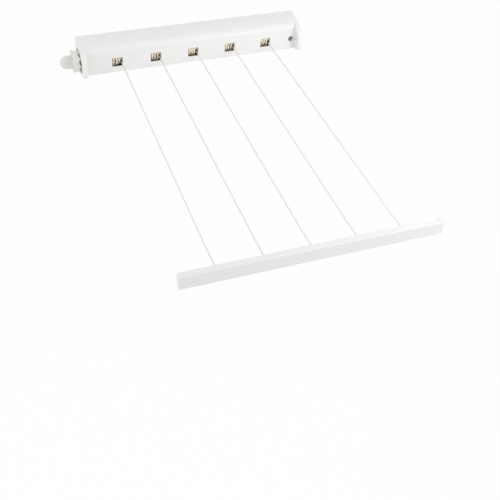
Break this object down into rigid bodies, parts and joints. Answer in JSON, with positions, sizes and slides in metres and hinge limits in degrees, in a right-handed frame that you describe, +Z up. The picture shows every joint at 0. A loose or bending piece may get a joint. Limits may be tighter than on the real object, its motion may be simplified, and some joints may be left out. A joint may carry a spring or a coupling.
{
  "type": "retractable clothes line",
  "caption": "Wall-mounted clothes dryer: a long housing whose taut lines pull out to a bar and wind back with a wing knob.",
  "frame": {"origin": "on the wall face, midway between the two wall screws", "axes": "+X along the housing to the right as seen from the room, +Y into the wall, +Z up; the lines run out along -Y"},
  "size_m": [0.4447, 0.6057, 0.0567],
  "materials": {
    "housing_plastic": "smooth off-white moulding",
    "cap_plastic": "smooth off-white moulding",
    "bar_plastic": "smooth off-white extrusion",
    "knob_plastic": "satin light grey moulding",
    "ratchet_plastic": "natural acetal",
    "bush_plastic": "natural acetal",
    "spool_plastic": "dark tan moulding",
    "bracket_plastic": "grey moulding",
    "line_cord": "braided polyester, off-white",
    "steel": "zinc plated"
  },
  "bodies": {
    "housing": {"body_shell": "housing_plastic", "wall_bracket": "bracket_plastic", "left_end_cap": "cap_plastic", "right_end_cap": "cap_plastic", "right_bearing_plate": "bracket_plastic", "cap_screws": "steel", "locking_screw": "steel", "left_bush": "bush_plastic", "right_bush": "bush_plastic", "ratchet_ring": "ratchet_plastic", "line_cord_1": "line_cord", "line_cord_2": "line_cord", "line_cord_3": "line_cord", "line_cord_4": "line_cord", "line_cord_5": "line_cord"},
    "bar": {"pull_bar": "bar_plastic", "bar_end_cap_left": "bar_plastic", "bar_end_cap_right": "bar_plastic", "line_knots": "line_cord"},
    "drum": {"drum_shaft": "steel", "left_drum_plug": "bush_plastic", "right_drum_plug": "bush_plastic", "line_spool_1": "spool_plastic", "line_spool_2": "spool_plastic", "line_spool_3": "spool_plastic", "line_spool_4": "spool_plastic", "line_spool_5": "spool_plastic", "line_winding_1": "line_cord", "line_winding_2": "line_cord", "line_winding_3": "line_cord", "line_winding_4": "line_cord", "line_winding_5": "line_cord"},
    "knob": {"winding_knob": "knob_plastic", "knob_pin": "steel"}
  },
  "joints": [
    {"name": "bar_slide", "type": "slide", "parent": "housing", "child": "bar", "axis": [0, 1, 0], "range_m": [0, 0.54977], "deforming": ["line_cord_1", "line_cord_2", "line_cord_3", "line_cord_4", "line_cord_5"]},
    {"name": "drum_spin", "type": "hinge", "parent": "housing", "child": "drum", "pos_m": [0, -0.029, -0.003], "axis": [1, 0, 0], "range_deg": [0, 3600]},
    {"name": "knob_lock", "type": "slide", "parent": "drum", "child": "knob", "axis": [1, 0, 0], "range_m": [0, 0.003]}
  ],
  "couplings": [
    {"joint": "drum_spin", "follows": "bar_slide", "rad_per_m": 114.29}
  ]
}
